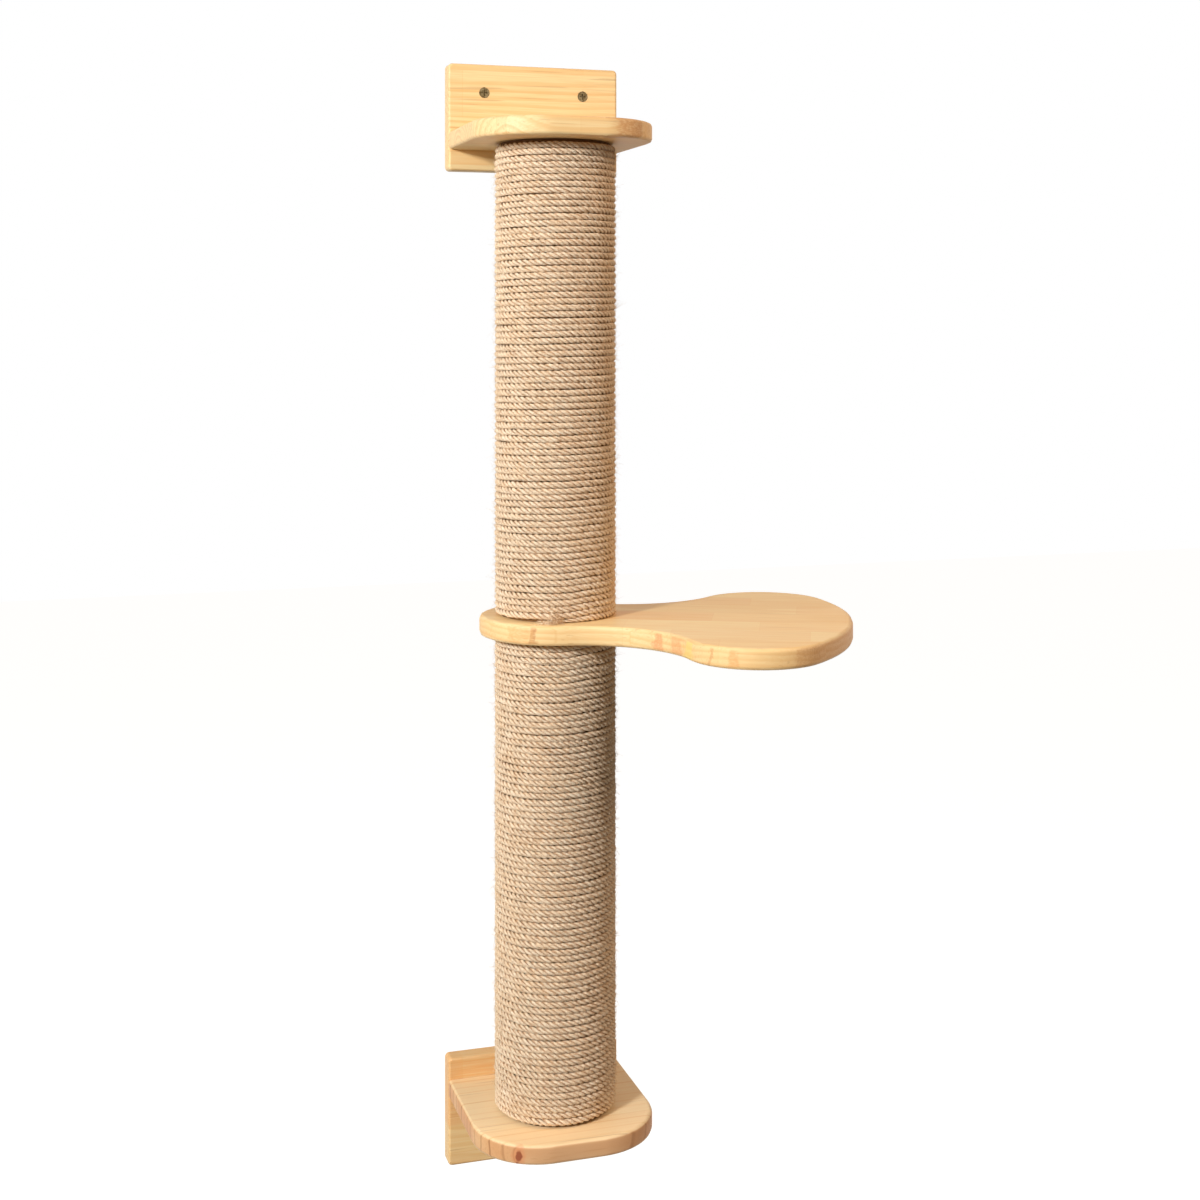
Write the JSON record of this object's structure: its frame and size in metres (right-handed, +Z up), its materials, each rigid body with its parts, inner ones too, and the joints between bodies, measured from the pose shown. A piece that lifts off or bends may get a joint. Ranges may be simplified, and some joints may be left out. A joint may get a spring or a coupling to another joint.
{
  "type": "wall mounted cat tree",
  "caption": "Tall rope-wound scratching column held to a wall by a rounded shelf bracket at each end, with a fan-shaped wooden step clamped between its halves.",
  "frame": {"origin": "centre of the top wall plate's back face, on the wall", "axes": "+Z up along the column, +Y into the wall, +X along the wall to the right as seen from the room"},
  "size_m": [0.356, 0.3454, 1.048],
  "materials": {
    "pine": "satin",
    "plug_wood": "matte",
    "jute_rope": "matte",
    "cardboard": "matte",
    "dark_steel": "satin",
    "zinc_steel": "satin"
  },
  "bodies": {
    "post": {"top_wall_plate": "pine", "top_shelf": "pine", "top_wall_screw_left": "dark_steel", "top_wall_screw_right": "dark_steel", "top_shelf_screw_left": "zinc_steel", "top_shelf_screw_middle": "zinc_steel", "top_shelf_screw_right": "zinc_steel", "top_column_washer": "zinc_steel", "top_column_bolt": "zinc_steel", "bottom_wall_plate": "pine", "bottom_shelf": "pine", "bottom_wall_screw_left": "dark_steel", "bottom_wall_screw_right": "dark_steel", "bottom_shelf_screw_left": "zinc_steel", "bottom_shelf_screw_middle": "zinc_steel", "bottom_shelf_screw_right": "zinc_steel", "bottom_column_washer": "zinc_steel", "bottom_column_bolt": "zinc_steel", "upper_tube": "cardboard", "upper_plug_top": "plug_wood", "upper_plug_bottom": "plug_wood", "upper_insert_top": "zinc_steel", "upper_insert_bottom": "zinc_steel", "upper_rope_wrap": "jute_rope", "lower_tube": "cardboard", "lower_plug_top": "plug_wood", "lower_plug_bottom": "plug_wood", "lower_insert_top": "zinc_steel", "lower_insert_bottom": "zinc_steel", "lower_rope_wrap": "jute_rope", "centre_stud": "zinc_steel"},
    "step": {"step_board": "pine"}
  },
  "joints": [
    {"name": "step_swivel", "type": "hinge", "parent": "post", "child": "step", "pos_m": [0, -0.093, -0.473], "axis": [0, 0, 1], "range_deg": [-135, 5]}
  ]
}
